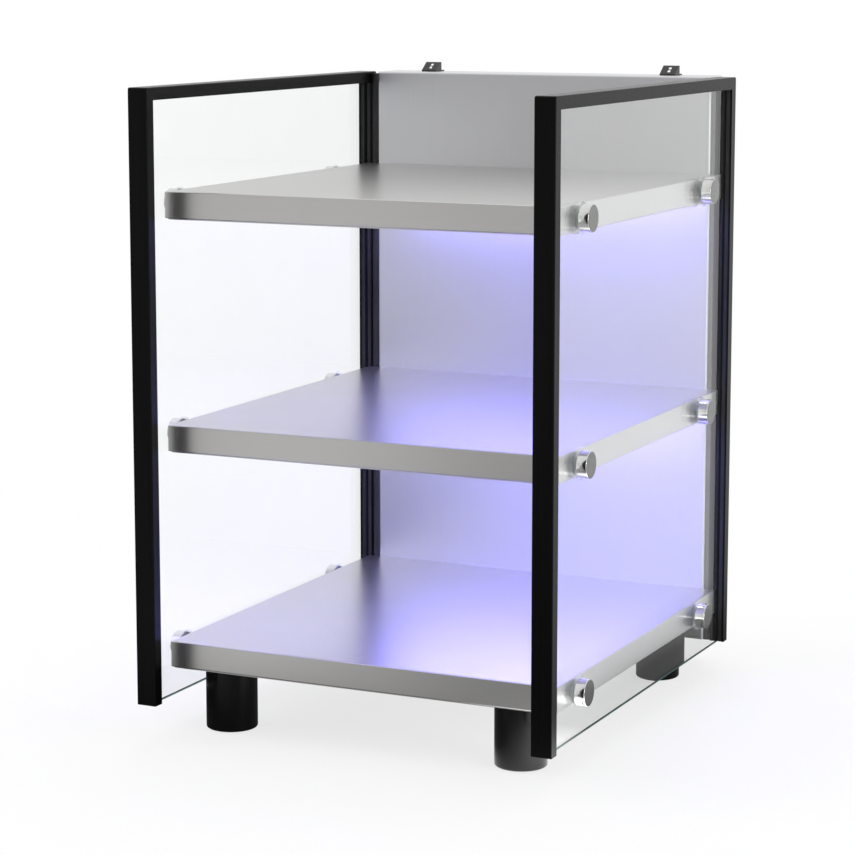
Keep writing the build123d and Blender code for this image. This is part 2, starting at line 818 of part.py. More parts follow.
def bar_profile(roof):
    """The aluminium channel of a light bar, open below, under a shelf."""
    y = bar_space()
    outer = block(-bar_length / 2, bar_length / 2, y - bar_width / 2, y + bar_width / 2,
                  roof - bar_height, roof)
    half = bar_width / 2 - bar_wall
    return outer - block(-bar_length / 2 - cutter, bar_length / 2 + cutter, y - half, y + half,
                         roof - bar_height - cutter, roof - bar_wall)


def bar_diffuser(roof):
    """The frosted strip that closes a light bar, crowned downwards."""
    y = bar_space()
    half = bar_width / 2 - bar_wall
    low = roof - bar_height
    crown = low - diffuser_crown
    with BuildSketch(Plane.YZ.offset(-bar_length / 2)) as section:
        with BuildLine():
            Polyline((y + half, low), (y + half, low + diffuser_thickness),
                     (y - half, low + diffuser_thickness), (y - half, low))
            ThreePointArc((y - half, low), (y, crown), (y + half, low))
        make_face()
    return extrude(section.sketch, bar_length, dir=(1, 0, 0))


def light_strip(roof):
    """The board with its row of light chips."""
    y = bar_space()
    under = roof - bar_wall - strip_thickness
    half = bar_length / 2 - bar_wall
    board = block(-half, half, y - strip_width / 2, y + strip_width / 2,
                  under, under + strip_thickness)
    pitch = bar_length / chip_count
    for index in range(chip_count):
        x = (index - (chip_count - 1) / 2) * pitch
        board += block(x - chip_size / 2, x + chip_size / 2, y - chip_size / 2, y + chip_size / 2,
                       under - chip_height, under)
    return board


def make_light_bars():
    """A light bar under the top shelf and one under the middle shelf."""
    for name in ("top", "middle"):
        roof = shelf_tops[name] - shelf_height
        save(name + "_light_profile", bar_profile(roof))
        save(name + "_light_diffuser", bar_diffuser(roof))
        save(name + "_light_strip", light_strip(roof))


# Lugs on top of the rear box

def lug_screw_place(side):
    """The middle of a lug's screw, as X and Y."""
    return (side * lug_offset, lug_middle() + lug_base_length / 2 - lug_screw_margin)


def lug_middle():
    """The middle of a lug's base, along Y."""
    return box_rear - lug_set_forward


def lug(side):
    """A small folded lug: a base, a leaning plate with two windows and two cheeks."""
    x0 = side * lug_offset - lug_width / 2
    x1 = side * lug_offset + lug_width / 2
    y0 = lug_middle() - lug_base_length / 2
    y1 = y0 + lug_lean
    low = frame_top + lug_sheet
    high = frame_top + lug_rise
    run = lug_sheet * (lug_lean ** 2 + lug_rise ** 2) ** 0.5 / lug_rise
    base = block(x0, x1, y0, y0 + lug_base_length, frame_top, low)
    plate = slab([(y0, low), (y1 - run, high), (y1, high), (y0 + run, low)], x0, x1)
    cheek = [(y0, low), (y1, high), (y1, low)]
    piece = base + plate + slab(cheek, x0, x0 + lug_sheet) + slab(cheek, x1 - lug_sheet, x1)
    middle = side * lug_offset
    for share in (1 / 3, 2 / 3):
        z = low + (high - low) * share
        piece -= block(middle - lug_window_width / 2, middle + lug_window_width / 2,
                       y0 - cutter, y1 + cutter, z - lug_window_height / 2, z + lug_window_height / 2)
    return piece - rod(lug_screw_diameter + 2 * bore_clearance, (*lug_screw_place(side), frame_top - cutter),
                       (0, 0, 1), 2 * cutter)


def make_lugs():
    """The two lugs and their screws."""
    save("left_lug", lug(-1))
    save("right_lug", lug(1))
    save("lug_screws", *[
        pan_screw(lug_screw_diameter, lug_screw_head, lug_screw_head_height, lug_sheet + 2 * box_sheet,
                  (*lug_screw_place(side), frame_top + lug_sheet), (0, 0, -1)) for side in (-1, 1)])


os.makedirs("parts", exist_ok=True)
make_side_frames()
make_shelves()
make_fixings()
make_feet()
make_rear_box()
make_controls()
make_electrics()
make_light_bars()
make_lugs()
print("outer sizes", frame_width, overall_depth, frame_top + lug_rise)
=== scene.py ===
import math

import bpy
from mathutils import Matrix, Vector


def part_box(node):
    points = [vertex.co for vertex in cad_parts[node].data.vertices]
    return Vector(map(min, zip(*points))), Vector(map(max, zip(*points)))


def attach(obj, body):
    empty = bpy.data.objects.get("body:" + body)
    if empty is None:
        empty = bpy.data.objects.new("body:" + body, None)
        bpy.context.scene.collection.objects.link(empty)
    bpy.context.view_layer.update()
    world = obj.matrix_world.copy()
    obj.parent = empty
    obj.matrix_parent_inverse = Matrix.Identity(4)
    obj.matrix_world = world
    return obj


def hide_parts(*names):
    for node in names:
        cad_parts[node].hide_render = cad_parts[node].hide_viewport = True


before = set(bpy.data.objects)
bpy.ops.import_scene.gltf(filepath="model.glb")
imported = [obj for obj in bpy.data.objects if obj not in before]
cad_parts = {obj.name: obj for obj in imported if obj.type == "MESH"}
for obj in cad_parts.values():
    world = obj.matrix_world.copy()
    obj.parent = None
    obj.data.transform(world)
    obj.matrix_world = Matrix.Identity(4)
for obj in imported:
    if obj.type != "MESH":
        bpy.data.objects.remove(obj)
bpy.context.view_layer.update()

# Where the corners of the side frames lie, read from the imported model
channel_low, channel_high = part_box("right_front_channel")
cabinet_front = channel_low.y
cabinet_top = channel_high.z
cabinet_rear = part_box("right_top_channel")[1].y


def grey(level):
    """An opaque grey, in linear colour as all colours here are."""
    return (level, level, level, 1.0)


white = grey(1.0)
steel_colour = (0.715, 0.705, 0.695, 1.0)
steel_light = (0.755, 0.745, 0.735, 1.0)
panel_colour = (0.78, 0.78, 0.80, 1.0)
panel_light = (0.81, 0.81, 0.83, 1.0)
light_colour = (0.30, 0.28, 1.0, 1.0)
light_strength = 50.0

# The light chips hang from their board, so the strip's lowest part is chips alone
chips_along_strip = 15
chip_height = 0.00085

# Screw sizes, in the order of the screw tree's inputs
small_screw = {"Diameter": 0.0056, "Height": 0.0018, "Edge radius": 0.0009, "Shank diameter": 0.003,
               "Shank length": 0.005, "Recess width": 0.0006, "Recess length": 0.0030, "Recess depth": 0.0011}
tiny_screw = {"Diameter": 0.0042, "Height": 0.0012, "Edge radius": 0.0006, "Shank diameter": 0.0025,
              "Shank length": 0.003, "Recess width": 0.0005, "Recess length": 0.0022, "Recess depth": 0.0007}
long_shank = 0.008


# Node trees

class Nodes:
    """A node tree, with short ways to add nodes whose inputs are values or outputs of other nodes."""

    def __init__(self, tree):
        self.tree = tree

    def link(self, source, target):
        self.tree.links.new(source, target)

    def fill(self, slot, value):
        """Give an input its value, or link it to the output that makes it."""
        if isinstance(value, bpy.types.NodeSocket):
            self.link(value, slot)
        else:
            slot.default_value = value

    def node(self, kind, inputs=None, **settings):
        """A new node with its settings, and with its inputs filled by name or number."""
        made = self.tree.nodes.new(kind)
        for key, value in settings.items():
            setattr(made, key, value)
        for key, value in (inputs or {}).items():
            self.fill(made.inputs[key], value)
        return made

    def calc(self, operation, *values):
        """The result of a math node."""
        return self.node("ShaderNodeMath", dict(enumerate(values)), operation=operation).outputs["Value"]

    def parts(self, vector):
        """The X, Y and Z of a vector."""
        return self.node("ShaderNodeSeparateXYZ", {"Vector": vector}).outputs

    def reach(self, x, y):
        """The distance from the axis of a turned piece."""
        return self.calc("SQRT", self.calc("ADD", self.calc("MULTIPLY", x, x), self.calc("MULTIPLY", y, y)))

    def span(self, value, low, high, start=0.3, end=0.7):
        """A level that goes from low to high while the value goes from start to end.

        The start and end that are given here are about as far as a noise reaches.
        """
        return self.node("ShaderNodeMapRange", {
            "Value": value, "From Min": start, "From Max": end, "To Min": low, "To Max": high}).outputs["Result"]


class Finish(Nodes):
    """A surface finish built from nodes on one Principled shader."""

    # The Mix node's sockets for each kind of data: first, second and result
    mix_sockets = {"RGBA": (6, 7, 2), "VECTOR": (4, 5, 1)}

    def __init__(self, name, **values):
        self.material = bpy.data.materials.new(name)
        self.material.use_nodes = True
        super().__init__(self.material.node_tree)
        self.shader = self.tree.nodes["Principled BSDF"]
        self.places = self.tree.nodes.new("ShaderNodeTexCoord")
        for key, value in values.items():
            self.shader.inputs[key.replace("_", " ").title().replace("Ior", "IOR")].default_value = value

    def stretched(self, scale, turn=(0.0, 0.0, 0.0)):
        """Object coordinates, scaled along each axis, so that a pattern gets a direction."""
        return self.node("ShaderNodeMapping", {
            "Vector": self.places.outputs["Object"], "Scale": scale, "Rotation": turn}).outputs["Vector"]

    def evenly(self):
        """Object coordinates for a pattern without a direction."""
        return self.stretched((1.0, 1.0, 1.0))

    def axis(self, name, output="Object"):
        """One coordinate of the surface point or of its normal."""
        return self.parts(self.places.outputs[output])[name]

    def sideways(self):
        """How squarely the surface looks left or right, from 0 to 1."""
        return self.calc("ABSOLUTE", self.axis("X", "Normal"))

    def apart(self, first, second):
        """How far two numbers are apart."""
        return self.calc("ABSOLUTE", self.calc("SUBTRACT", first, second))

    def distance(self):
        """How far the surface point is from the model's origin."""
        return self.node("ShaderNodeVectorMath", {0: self.places.outputs["Object"]},
                         operation="LENGTH").outputs["Value"]

    def noise(self, vector, scale, detail=2.0, roughness=0.5):
        return self.node("ShaderNodeTexNoise", {
            "Vector": vector, "Scale": scale, "Detail": detail, "Roughness": roughness}).outputs["Fac"]

    def wave(self, value, pitch, kind="SINE"):
        """A wave that repeats along a value at a pitch."""
        return self.calc(kind, self.calc("MULTIPLY", value, 2.0 * math.pi / pitch))

    def between(self, factor, first, second, kind="RGBA"):
        """A mix of two colours or, for the kind VECTOR, of two vectors. Each is a value or an output."""
        first_slot, second_slot, result = self.mix_sockets[kind]
        return self.node("ShaderNodeMix", {"Factor": factor, first_slot: first, second_slot: second},
                         data_type=kind).outputs[result]

    def mottled(self, pattern, dark, light):
        """A colour that follows a pattern from dark to light."""
        return self.between(self.span(pattern, 0.0, 1.0), dark, light)

    def colour(self, output):
        self.link(output, self.shader.inputs["Base Color"])

    def roughness(self, output):
        self.link(output, self.shader.inputs["Roughness"])

    def relief(self, height, depth):
        """A bump of a depth in metres."""
        made = self.node("ShaderNodeBump", {"Height": height, "Distance": depth, "Strength": 1.0})
        self.link(made.outputs["Normal"], self.shader.inputs["Normal"])

    def patterned(self, pattern, dark, light, smooth, rough, depth):
        """Let one pattern set the colour, the roughness and the relief."""
        self.colour(self.mottled(pattern, dark, light))
        self.roughness(self.span(pattern, smooth, rough))
        self.relief(pattern, depth)
        return self.material

    def mix_shaders(self, factor, first, second):
        return self.node("ShaderNodeMixShader", {"Fac": factor, 1: first, 2: second}).outputs["Shader"]

    def show(self, shader):
        """Make a shader the one that the surface shows."""
        self.link(shader, self.tree.nodes["Material Output"].inputs["Surface"])


# Finishes

def brushed_steel(name, dark, light, grain, rough):
    """Satin steel whose brush lines run along an axis, and along Y on faces that look sideways; those sideways faces
    are also painted lighter, towards white, as painted light.
    """
    finish = Finish(name, metallic=1.0, roughness=rough)
    across, along = 2200.0, 4.0
    line_share, cloud_share = 0.65, 0.35
    side_limit, side_painted_light, side_roughness = 0.7, 0.55, 0.16
    smoother, rougher = 0.004, 0.006
    main_scale = {"X": (along, across, across), "Z": (across, across, along)}[grain]
    sideways = finish.calc("GREATER_THAN", finish.sideways(), side_limit)
    grain_place = finish.between(sideways, finish.stretched(main_scale),
                                 finish.stretched((across, along, across)), "VECTOR")
    lines = finish.noise(grain_place, 1.0, detail=3.0, roughness=0.6)
    clouds = finish.noise(finish.evenly(), 22.0)
    tone = finish.calc("ADD", finish.calc("MULTIPLY", lines, line_share),
                       finish.calc("MULTIPLY", clouds, cloud_share))
    brushed = finish.mottled(tone, dark, light)
    # Painted light: faces that look sideways are mixed towards white, so they show lighter than the rest of the
    # steel.
    finish.colour(finish.between(finish.calc("MULTIPLY", sideways, side_painted_light), brushed, white))
    finish.roughness(finish.calc("MULTIPLY_ADD", sideways, side_roughness,
                                 finish.span(lines, rough - smoother, rough + rougher)))
    finish.relief(lines, depth=0.0000002)
    return finish.material


def black_anodised():
    """Satin black aluminium with a fine grain and a hairline at each mitre."""
    finish = Finish("black_anodised_channel", metallic=0.0, roughness=0.30, specular_ior_level=0.11)
    hairline_start, hairline_end, grain_share = 0.00004, 0.00022, 0.06
    grain = finish.noise(finish.evenly(), 2200.0)
    drawn = finish.noise(finish.stretched((700.0, 700.0, 10.0)), 1.0)
    y, z = finish.axis("Y"), finish.axis("Z")
    front_mitre = finish.apart(finish.calc("ADD", y, z), cabinet_front + cabinet_top)
    rear_mitre = finish.apart(finish.calc("SUBTRACT", z, y), cabinet_top - cabinet_rear)
    seam = finish.span(finish.calc("MINIMUM", front_mitre, rear_mitre), 0.0, 1.0, hairline_start, hairline_end)
    tone = finish.calc("MULTIPLY", finish.span(drawn, 0.0, 1.0), seam)
    finish.colour(finish.between(tone, grey(0.0012), grey(0.0026)))
    finish.roughness(finish.span(grain, 0.26, 0.34))
    finish.relief(finish.calc("ADD", finish.calc("MULTIPLY", grain, grain_share), seam), depth=0.00008)
    return finish.material


def side_glass():
    """Clear float glass with a dark green ground edge. Rays from the lamps pass it straight, with its tint."""
    finish = Finish("clear_float_glass", roughness=0.0, ior=1.38, transmission_weight=1.0)
    edge_limit, lamp_tint = 0.6, (0.93, 0.96, 0.95, 1.0)
    ripple = finish.noise(finish.evenly(), 30.0)
    finish.colour(finish.mottled(ripple, (0.985, 0.996, 0.992, 1.0), (0.995, 1.0, 0.998, 1.0)))
    tint = finish.noise(finish.stretched((900.0, 60.0, 900.0)), 1.0)
    edge_green = finish.mottled(tint, (0.02, 0.10, 0.075, 1.0), (0.035, 0.15, 0.115, 1.0))
    ground = finish.node("ShaderNodeBsdfPrincipled", {"Base Color": edge_green, "Roughness": 0.4})
    on_edge = finish.calc("LESS_THAN", finish.sideways(), edge_limit)
    sheet = finish.mix_shaders(on_edge, finish.shader.outputs["BSDF"], ground.outputs["BSDF"])
    straight = finish.node("ShaderNodeBsdfTransparent", {"Color": lamp_tint})
    rays = finish.node("ShaderNodeLightPath")
    finish.show(finish.mix_shaders(rays.outputs["Is Shadow Ray"], sheet, straight.outputs["BSDF"]))
    return finish.material


def clear_plastic():
    """The clear plastic of the washers under the caps, which only shows as a faint ring."""
    finish = Finish("clear_washer_plastic", roughness=0.05, ior=1.49, alpha=0.16)
    cloud = finish.noise(finish.evenly(), 260.0, detail=3.0)
    finish.colour(finish.mottled(cloud, (0.93, 0.95, 0.95, 1.0), (0.97, 0.98, 0.98, 1.0)))
    finish.roughness(finish.span(cloud, 0.03, 0.10))
    return finish.material


def polished_cap():
    """Bright chrome sides, and faces with a satin roughness whose darker grey is painted shade, with fine turned
    rings about the piece's own middle.
    """
    finish = Finish("polished_chrome_cap", metallic=1.0, roughness=0.07)
    ring_pitch, satin_roughness = 0.00035, 0.14
    face_start, face_end = 0.85, 0.97
    face = finish.span(finish.sideways(), 0.0, 1.0, face_start, face_end)
    local = finish.node("ShaderNodeAttribute", attribute_name="turned_place")
    x, y, _ = finish.parts(local.outputs["Vector"])
    rings = finish.wave(finish.reach(x, y), ring_pitch)
    smear = finish.noise(finish.evenly(), 150.0, detail=3.0)
    face_painted_shade = finish.mottled(smear, (0.185, 0.19, 0.185, 1.0), (0.22, 0.225, 0.22, 1.0))
    bright = finish.mottled(smear, (0.76, 0.76, 0.75, 1.0), (0.82, 0.82, 0.81, 1.0))
    # Painted shade: the faces get a darker grey than the chrome sides.
    finish.colour(finish.between(face, bright, face_painted_shade))
    finish.roughness(finish.calc("ADD", finish.span(smear, 0.03, 0.06),
                                 finish.calc("MULTIPLY", face, satin_roughness)))
    finish.relief(finish.calc("MULTIPLY", rings, face), depth=0.000006)
    return finish.material


def zinc_plate():
    """Zinc-plated steel with a cloudy passivated tone."""
    finish = Finish("zinc_plated_steel", metallic=1.0, roughness=0.32)
    cloud = finish.noise(finish.evenly(), 420.0, detail=4.0, roughness=0.6)
    return finish.patterned(cloud, (0.47, 0.48, 0.50, 1.0), (0.62, 0.63, 0.65, 1.0),
                            smooth=0.24, rough=0.40, depth=0.00002)


def moulded(name, dark, light, rough, grain_scale, depth=0.00003, coat=0.0, shine=0.5):
    """Moulded plastic or rubber with a fine grain and a cloudy tone."""
    finish = Finish(name, roughness=rough, coat_weight=coat, specular_ior_level=shine)
    cloud_coarseness, smoother, rougher = 60.0, 0.05, 0.07
    place = finish.evenly()
    grain = finish.noise(place, grain_scale)
    cloud = finish.noise(place, grain_scale / cloud_coarseness)
    finish.colour(finish.mottled(cloud, dark, light))
    finish.roughness(finish.span(grain, rough - smoother, rough + rougher))
    finish.relief(grain, depth)
    return finish.material


def silicone_mat():
    """Red silicone over glass cloth, whose weave shows through."""
    finish = Finish("red_silicone_mat", roughness=0.55)
    thread_pitch = 0.0012
    weave = finish.calc("MULTIPLY", finish.wave(finish.axis("X"), thread_pitch),
                        finish.wave(finish.axis("Y"), thread_pitch))
    cloud = finish.noise(finish.evenly(), 60.0, detail=3.0)
    finish.colour(finish.mottled(cloud, (0.42, 0.075, 0.03, 1.0), (0.58, 0.12, 0.05, 1.0)))
    finish.roughness(finish.span(weave, 0.48, 0.62, start=-1.0, end=1.0))
    finish.relief(weave, depth=0.00006)
    return finish.material


def mineral_felt():
    """White needled felt."""
    finish = Finish("white_mineral_felt", roughness=0.95)
    place = finish.stretched((1.0, 0.35, 1.0), turn=(0.0, 0.0, 0.6))
    fibres = finish.noise(place, 700.0, detail=5.0, roughness=0.7)
    return finish.patterned(fibres, (0.66, 0.63, 0.56, 1.0), (0.86, 0.84, 0.78, 1.0),
                            smooth=0.88, rough=1.0, depth=0.0006)


def extruded_aluminium():
    """Natural anodised aluminium with die lines along the bar."""
    finish = Finish("anodised_bar_profile", metallic=1.0, roughness=0.34)
    lines = finish.noise(finish.stretched((5.0, 1400.0, 1400.0)), 1.0, detail=3.0)
    return finish.patterned(lines, (0.66, 0.66, 0.67, 1.0), (0.78, 0.78, 0.79, 1.0),
                            smooth=0.28, rough=0.42, depth=0.00002)


def lit_diffuser(pitch):
    """The frosted strip, a little brighter under each light chip."""
    finish = Finish("lit_frosted_diffuser", roughness=0.45)
    level_between_chips = 0.86
    beat = finish.wave(finish.axis("X"), pitch, "COSINE")
    frost = finish.noise(finish.evenly(), 1500.0)
    finish.colour(finish.mottled(frost, (0.70, 0.71, 0.80, 1.0), (0.82, 0.83, 0.92, 1.0)))
    dim = tuple(level_between_chips * part for part in light_colour[:3]) + (1.0,)
    finish.link(finish.between(finish.span(beat, 0.0, 1.0, start=-1.0, end=1.0), dim, light_colour),
                finish.shader.inputs["Emission Color"])
    finish.shader.inputs["Emission Strength"].default_value = light_strength
    finish.relief(frost, depth=0.00004)
    return finish.material


def chip_board(name, chip_top):
    """A white board whose raised chips are phosphor yellow."""
    finish = Finish(name, roughness=0.3)
    chip = finish.calc("LESS_THAN", finish.axis("Z"), chip_top)
    grain = finish.noise(finish.evenly(), 900.0)
    board = finish.mottled(grain, (0.74, 0.74, 0.70, 1.0), (0.84, 0.84, 0.81, 1.0))
    finish.colour(finish.between(chip, board, (0.86, 0.66, 0.12, 1.0)))
    finish.roughness(finish.span(grain, 0.24, 0.38))
    finish.relief(grain, depth=0.00001)
    return finish.material


def nickel_pin():
    """Bright nickel with fine lines along the pin."""
    finish = Finish("nickel_plated_pin", metallic=1.0, roughness=0.2)
    lines = finish.noise(finish.stretched((1500.0, 30.0, 1500.0)), 1.0)
    return finish.patterned(lines, (0.58, 0.56, 0.50, 1.0), (0.72, 0.69, 0.60, 1.0),
                            smooth=0.15, rough=0.28, depth=0.00001)


def powder_coat():
    """Black powder coat with its orange-peel relief."""
    finish = Finish("black_powder_coat", roughness=0.38, specular_ior_level=0.5)
    peel = finish.noise(finish.evenly(), 900.0)
    return finish.patterned(peel, grey(0.010), grey(0.022), smooth=0.3, rough=0.46, depth=0.00008)


def dress(node, material):
    """Give a node of the model its finish."""
    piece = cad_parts[node]
    piece.data.materials.clear()
    piece.data.materials.append(material)


# Pieces made by rule

class PieceTree(Nodes):
    """A geometry node tree with named inputs, whose last steps realize and finish the result."""

    def __init__(self, name, sizes):
        super().__init__(bpy.data.node_groups.new(name, "GeometryNodeTree"))
        self.names = {}
        self.add_socket("Geometry", "INPUT", "NodeSocketGeometry")
        for label, value in sizes.items():
            self.add_socket(label, "INPUT", "NodeSocketFloat").default_value = value
        self.add_socket("Finish", "INPUT", "NodeSocketMaterial")
        self.add_socket("Geometry", "OUTPUT", "NodeSocketGeometry")
        self.inputs = self.node("NodeGroupInput").outputs
        self.output = self.node("NodeGroupOutput")

    def add_socket(self, label, side, kind):
        """A socket of the whole tree, whose identifier is kept for the modifier."""
        socket = self.tree.interface.new_socket(label, in_out=side, socket_type=kind)
        self.names.setdefault(label, socket.identifier)
        return socket

    def choose(self, condition, no, yes):
        return self.node("GeometryNodeSwitch", {"Switch": condition, "False": no, "True": yes},
                         input_type="FLOAT").outputs[0]

    def above(self, first, second):
        return self.node("FunctionNodeCompare", {"A": first, "B": second}, data_type="FLOAT",
                         operation="GREATER_THAN").outputs[0]

    def vector(self, x, y, z):
        return self.node("ShaderNodeCombineXYZ", {"X": x, "Y": y, "Z": z}).outputs[0]

    def moved(self, geometry, x, y, z):
        return self.node("GeometryNodeTransform", {
            "Geometry": geometry, "Translation": self.vector(x, y, z)}).outputs[0]

    def place_on_points(self, geometry):
        """Place the piece on every point, facing along the point's direction, and make it real."""
        facing = self.node("GeometryNodeInputNamedAttribute", {"Name": "facing"}, data_type="FLOAT_VECTOR")
        turn = self.node("FunctionNodeAlignRotationToVector", {"Vector": facing.outputs[0]}, axis="Z")
        placed = self.node("GeometryNodeInstanceOnPoints", {
            "Points": self.inputs["Geometry"], "Instance": geometry, "Rotation": turn.outputs[0]})
        real = self.node("GeometryNodeRealizeInstances", {"Geometry": placed.outputs[0]})
        done = self.node("GeometryNodeSetMaterial", {"Geometry": real.outputs[0], "Material": self.inputs["Finish"]})
        self.link(done.outputs[0], self.output.inputs["Geometry"])


def turned_disc(tree, rings, grooves):
    """A disc standing on its point, with a rounded outer edge and grooves turned into its face."""
    sides, edge_rings, just_inside, nearly_nothing = 72, 5, 0.001, 1e-9
    radius = tree.calc("MULTIPLY", tree.inputs["Diameter"], 0.5)
    height = tree.inputs["Height"]
    edge = tree.inputs["Edge radius"]
    disc = tree.node("GeometryNodeMeshCylinder", {
        "Vertices": sides, "Side Segments": 1, "Fill Segments": rings, "Radius": radius, "Depth": height})
    x, y, z = tree.parts(tree.node("GeometryNodeInputPosition").outputs[0])
    reach = tree.reach(x, y)
    share = tree.calc("DIVIDE", reach, radius)

    # The inner rings are drawn in to the flat face, and the outer ones follow a quarter circle
    flat = tree.calc("SUBTRACT", radius, edge)
    flat_share = 1.0 - edge_rings / rings
    on_edge = tree.above(share, flat_share + just_inside)
    angle = tree.calc("MULTIPLY", tree.calc("SUBTRACT", share, flat_share), 0.5 * math.pi / (1.0 - flat_share))
    edge_reach = tree.calc("ADD", flat, tree.calc("MULTIPLY", edge, tree.calc("SINE", angle)))
    flat_reach = tree.calc("MULTIPLY", flat, tree.calc("DIVIDE", share, flat_share))
    new_reach = tree.choose(on_edge, flat_reach, edge_reach)
    edge_drop = tree.calc("MULTIPLY", edge, tree.calc("SUBTRACT", 1.0, tree.calc("COSINE", angle)))
    face_drop = 0.0
    if grooves:
        wave = tree.calc("SINE", tree.calc("MULTIPLY", share, math.pi * grooves / flat_share))
        face_drop = tree.calc("MULTIPLY", tree.inputs["Groove depth"], tree.calc("MULTIPLY", wave, wave))
    drop = tree.choose(on_edge, face_drop, edge_drop)

    # Only the upper face is shaped, and the disc is raised to stand on its point
    top = tree.above(z, 0.0)
    scale = tree.choose(top, 1.0, tree.calc("DIVIDE", new_reach, tree.calc("MAXIMUM", reach, nearly_nothing)))
    lowered = tree.calc("SUBTRACT", z, tree.choose(top, 0.0, drop))
    risen = tree.calc("ADD", lowered, tree.calc("MULTIPLY", height, 0.5))
    place = tree.vector(tree.calc("MULTIPLY", x, scale), tree.calc("MULTIPLY", y, scale), risen)
    shaped = tree.node("GeometryNodeSetPosition", {"Geometry": disc.outputs["Mesh"], "Position": place})
    return tree.node("GeometryNodeStoreNamedAttribute", {
        "Geometry": shaped.outputs[0], "Name": "turned_place", "Value": place},
        data_type="FLOAT_VECTOR", domain="POINT").outputs[0]


def turned_tree(name, rings, grooves):
    """The tree of a plain turned piece."""
    tree = PieceTree(name, {"Diameter": 0.018, "Height": 0.007, "Edge radius": 0.0009, "Groove depth": 0.0})
    tree.place_on_points(turned_disc(tree, rings, grooves))
    return tree


def screw_tree():
    """The tree of a pan-head screw with a cross recess and a plain shank."""
    head_rings, shank_sides = 8, 24
    tree = PieceTree("pan_head_screw", small_screw)
    head = turned_disc(tree, head_rings, 0)
    long, wide = tree.inputs["Recess length"], tree.inputs["Recess width"]
    cutter_height = tree.calc("MULTIPLY", tree.inputs["Recess depth"], 2.0)
    cut = tree.node("GeometryNodeMeshBoolean", {"Mesh 1": head}, operation="DIFFERENCE", solver="EXACT")
    for arm in ((long, wide), (wide, long)):
        cutter = tree.node("GeometryNodeMeshCube", {"Size": tree.vector(*arm, cutter_height)})
        tree.link(tree.moved(cutter.outputs["Mesh"], 0.0, 0.0, tree.inputs["Height"]), cut.inputs["Mesh 2"])
    shank = tree.node("GeometryNodeMeshCylinder", {
        "Vertices": shank_sides, "Radius": tree.calc("MULTIPLY", tree.inputs["Shank diameter"], 0.5),
        "Depth": tree.inputs["Shank length"]})
    sunk = tree.moved(shank.outputs["Mesh"], 0.0, 0.0, tree.calc("MULTIPLY", tree.inputs["Shank length"], -0.5))
    joined = tree.node("GeometryNodeJoinGeometry")
    tree.link(sunk, joined.inputs[0])
    tree.link(cut.outputs["Mesh"], joined.inputs[0])
    tree.place_on_points(joined.outputs[0])
    return tree


def add_piece(name, mesh, crease):
    """An object for a finished mesh, smooth but for its creases, in degrees."""
    mesh.shade_smooth()
    mesh.set_sharp_from_angle(angle=math.radians(crease))
    piece = bpy.data.objects.new(name, mesh)
    bpy.context.scene.collection.objects.link(piece)
    return piece


def placed_pieces(name, tree, sizes, finish, points, facing, crease):
    """A mesh with one made piece at every point, each facing its own direction."""
    seeds = bpy.data.meshes.new(name + "_points")
    seeds.from_pydata(points, [], [])
    directions = seeds.attributes.new("facing", "FLOAT_VECTOR", "POINT")
    directions.data.foreach_set("vector", [part for one in facing for part in one])
    holder = bpy.data.objects.new(name + "_seeds", seeds)
    bpy.context.scene.collection.objects.link(holder)
    modifier = holder.modifiers.new("made", "NODES")
    modifier.node_group = tree.tree
    for label, value in sizes.items():
        modifier[tree.names[label]] = value
    modifier[tree.names["Finish"]] = finish
    bpy.context.view_layer.update()
    evaluated = holder.evaluated_get(bpy.context.evaluated_depsgraph_get())
    mesh = bpy.data.meshes.new_from_object(evaluated)
    bpy.data.objects.remove(holder)
    mesh.name = name
    return add_piece(name, mesh, crease)


def solids_of(node):
    """The boxes of the separate solids of a node, as (low, high) corners."""
    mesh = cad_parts[node].data
    micrometre_digits = 6
    places = [tuple(round(part, micrometre_digits) for part in vertex.co) for vertex in mesh.vertices]
    parent = {place: place for place in places}

    def root(place):
        while parent[place] != place:
            parent[place] = parent[parent[place]]
            place = parent[place]
        return place

    for edge in mesh.edges:
        first, second = (root(places[index]) for index in edge.vertices)
        parent[first] = second
    groups = {}
    for place in parent:
        groups.setdefault(root(place), []).append(place)
    boxes = [(Vector([min(values) for values in zip(*group)]), Vector([max(values) for values in zip(*group)]))
             for group in groups.values()]
    return sorted(boxes, key=lambda box: tuple(box[0]))


def make_caps(finish):
    """The twelve polished caps on the outside of the glass."""
    tree = turned_tree("turned_cap", rings=13, grooves=0)
    solids = solids_of("glass_caps")
    points, facing = [], []
    for low, high in solids:
        middle = (low + high) / 2
        on_right = low.x > 0
        points.append((low.x if on_right else high.x, middle.y, middle.z))
        facing.append((1.0 if on_right else -1.0, 0.0, 0.0))
    low, high = solids[0]
    sizes = {"Diameter": high.y - low.y, "Height": high.x - low.x, "Edge radius": 0.0005}
    piece = placed_pieces("polished_caps", tree, sizes, finish, points, facing, crease=50.0)
    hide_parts("glass_caps")
    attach(piece, "cabinet")


def make_foot_pads(finish):
    """The grooved rubber pads under the feet."""
    tree = turned_tree("grooved_pad", rings=29, grooves=4)
    solids = solids_of("foot_pads")
    points, facing = [], []
    for low, high in solids:
        middle = (low + high) / 2
        points.append((middle.x, middle.y, high.z))
        facing.append((0.0, 0.0, -1.0))
    low, high = solids[0]
    sizes = {"Diameter": high.x - low.x, "Height": high.z - low.z, "Edge radius": 0.0006, "Groove depth": 0.0005}
    piece = placed_pieces("grooved_foot_pads", tree, sizes, finish, points, facing, crease=50.0)
    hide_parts("foot_pads")
    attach(piece, "cabinet")


